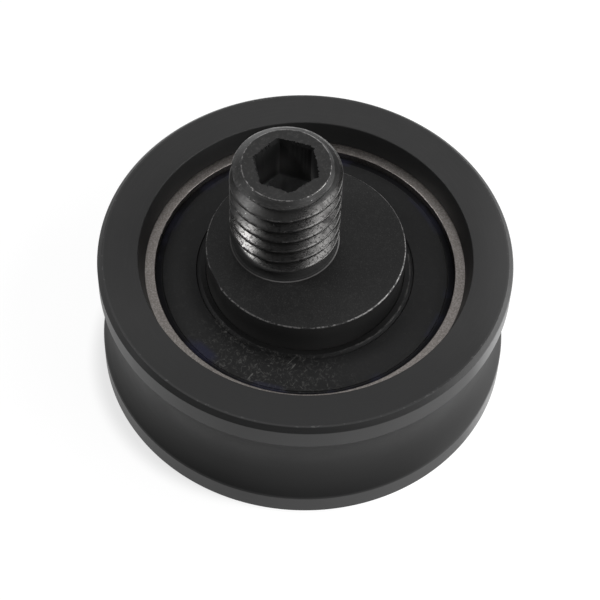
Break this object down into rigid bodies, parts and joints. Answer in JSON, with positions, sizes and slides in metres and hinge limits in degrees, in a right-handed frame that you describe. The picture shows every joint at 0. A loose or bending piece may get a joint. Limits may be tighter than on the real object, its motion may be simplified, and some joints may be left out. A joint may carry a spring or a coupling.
{
  "type": "elevator door roller",
  "caption": "Grooved black nylon door roller moulded round a sealed ball bearing, on an eccentric threaded stud with a collar and a hex socket.",
  "frame": {"origin": "on the wheel's axis, at the wheel's back face, which it rests on", "axes": "+Z along the wheel's axis towards the threaded stud; the stud's own axis lies off the wheel's axis along -X"},
  "size_m": [0.038, 0.038, 0.0263],
  "materials": {
    "black_nylon": "moulded and turned, satin black",
    "bearing_steel": "fine ground",
    "pressed_steel": "cold rolled and pressed",
    "seal_rubber": "moulded, matt",
    "black_oxide_steel": "turned, black oxide, worn on the thread",
    "spring_steel": "stamped, phosphated"
  },
  "bodies": {
    "stud": {"eccentric_stud": "black_oxide_steel", "bearing_inner_ring": "bearing_steel", "retaining_ring": "spring_steel"},
    "wheel": {"roller_wheel": "black_nylon", "bearing_outer_ring": "bearing_steel", "front_seal": "seal_rubber", "rear_seal": "seal_rubber"},
    "cage": {"cage_front_half": "pressed_steel", "cage_rear_half": "pressed_steel", "cage_rivets": "pressed_steel"},
    "rolling_ball_1": {"ball_1": "bearing_steel"},
    "rolling_ball_2": {"ball_2": "bearing_steel"},
    "rolling_ball_3": {"ball_3": "bearing_steel"},
    "rolling_ball_4": {"ball_4": "bearing_steel"},
    "rolling_ball_5": {"ball_5": "bearing_steel"},
    "rolling_ball_6": {"ball_6": "bearing_steel"},
    "rolling_ball_7": {"ball_7": "bearing_steel"}
  },
  "joints": [
    {"name": "wheel_spin", "type": "hinge", "parent": "stud", "child": "wheel", "pos_m": [0, 0, 0.0072], "axis": [0, 0, 1], "continuous": true},
    {"name": "cage_spin", "type": "hinge", "parent": "stud", "child": "cage", "pos_m": [0, 0, 0.0072], "axis": [0, 0, 1], "continuous": true},
    {"name": "ball_1_roll", "type": "hinge", "parent": "cage", "child": "rolling_ball_1", "pos_m": [0.011, 0, 0.0072], "axis": [0, 0, 1], "continuous": true},
    {"name": "ball_2_roll", "type": "hinge", "parent": "cage", "child": "rolling_ball_2", "pos_m": [0.00686, 0.0086, 0.0072], "axis": [0, 0, 1], "continuous": true},
    {"name": "ball_3_roll", "type": "hinge", "parent": "cage", "child": "rolling_ball_3", "pos_m": [-0.00245, 0.01072, 0.0072], "axis": [0, 0, 1], "continuous": true},
    {"name": "ball_4_roll", "type": "hinge", "parent": "cage", "child": "rolling_ball_4", "pos_m": [-0.00991, 0.00477, 0.0072], "axis": [0, 0, 1], "continuous": true},
    {"name": "ball_5_roll", "type": "hinge", "parent": "cage", "child": "rolling_ball_5", "pos_m": [-0.00991, -0.00477, 0.0072], "axis": [0, 0, 1], "continuous": true},
    {"name": "ball_6_roll", "type": "hinge", "parent": "cage", "child": "rolling_ball_6", "pos_m": [-0.00245, -0.01072, 0.0072], "axis": [0, 0, 1], "continuous": true},
    {"name": "ball_7_roll", "type": "hinge", "parent": "cage", "child": "rolling_ball_7", "pos_m": [0.00686, -0.0086, 0.0072], "axis": [0, 0, 1], "continuous": true}
  ],
  "couplings": [
    {"joint": "cage_spin", "follows": "wheel_spin", "ratio": 0.6353},
    {"joint": "ball_1_roll", "follows": "wheel_spin", "ratio": 1.7125},
    {"joint": "ball_2_roll", "follows": "wheel_spin", "ratio": 1.7125},
    {"joint": "ball_3_roll", "follows": "wheel_spin", "ratio": 1.7125},
    {"joint": "ball_4_roll", "follows": "wheel_spin", "ratio": 1.7125},
    {"joint": "ball_5_roll", "follows": "wheel_spin", "ratio": 1.7125},
    {"joint": "ball_6_roll", "follows": "wheel_spin", "ratio": 1.7125},
    {"joint": "ball_7_roll", "follows": "wheel_spin", "ratio": 1.7125}
  ]
}
